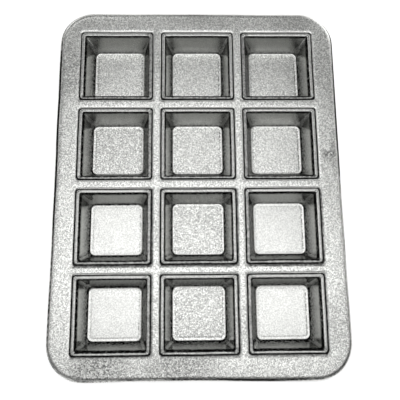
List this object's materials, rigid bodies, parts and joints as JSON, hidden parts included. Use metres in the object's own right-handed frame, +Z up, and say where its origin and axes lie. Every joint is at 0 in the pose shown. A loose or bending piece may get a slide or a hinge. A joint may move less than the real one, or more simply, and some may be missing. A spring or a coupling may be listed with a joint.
{
  "type": "brownie pan",
  "caption": "Flat oblong metal pan with square tapered cups locked into a sheet frame, each with a raised bead, and an outer edge rolled round a wire.",
  "frame": {"origin": "under the middle of the pan, on the plane of the cups' undersides", "axes": "+X across the columns of cups, to the right in the picture; +Y along the rows, away from the viewer; +Z up out of the cups"},
  "size_m": [0.273, 0.3556, 0.0252],
  "materials": {
    "frame_sheet": "satin aluminised steel sheet, finely mottled",
    "cup_sheet": "satin aluminised steel sheet, drawn smooth on the walls",
    "rim_wire": "plain drawn steel wire"
  },
  "bodies": {
    "root": {"pan_frame": "frame_sheet", "cup_r1_c1": "cup_sheet", "cup_r1_c2": "cup_sheet", "cup_r1_c3": "cup_sheet", "cup_r2_c1": "cup_sheet", "cup_r2_c2": "cup_sheet", "cup_r2_c3": "cup_sheet", "cup_r3_c1": "cup_sheet", "cup_r3_c2": "cup_sheet", "cup_r3_c3": "cup_sheet", "cup_r4_c1": "cup_sheet", "cup_r4_c2": "cup_sheet", "cup_r4_c3": "cup_sheet", "rim_wire": "rim_wire"}
  },
  "joints": []
}
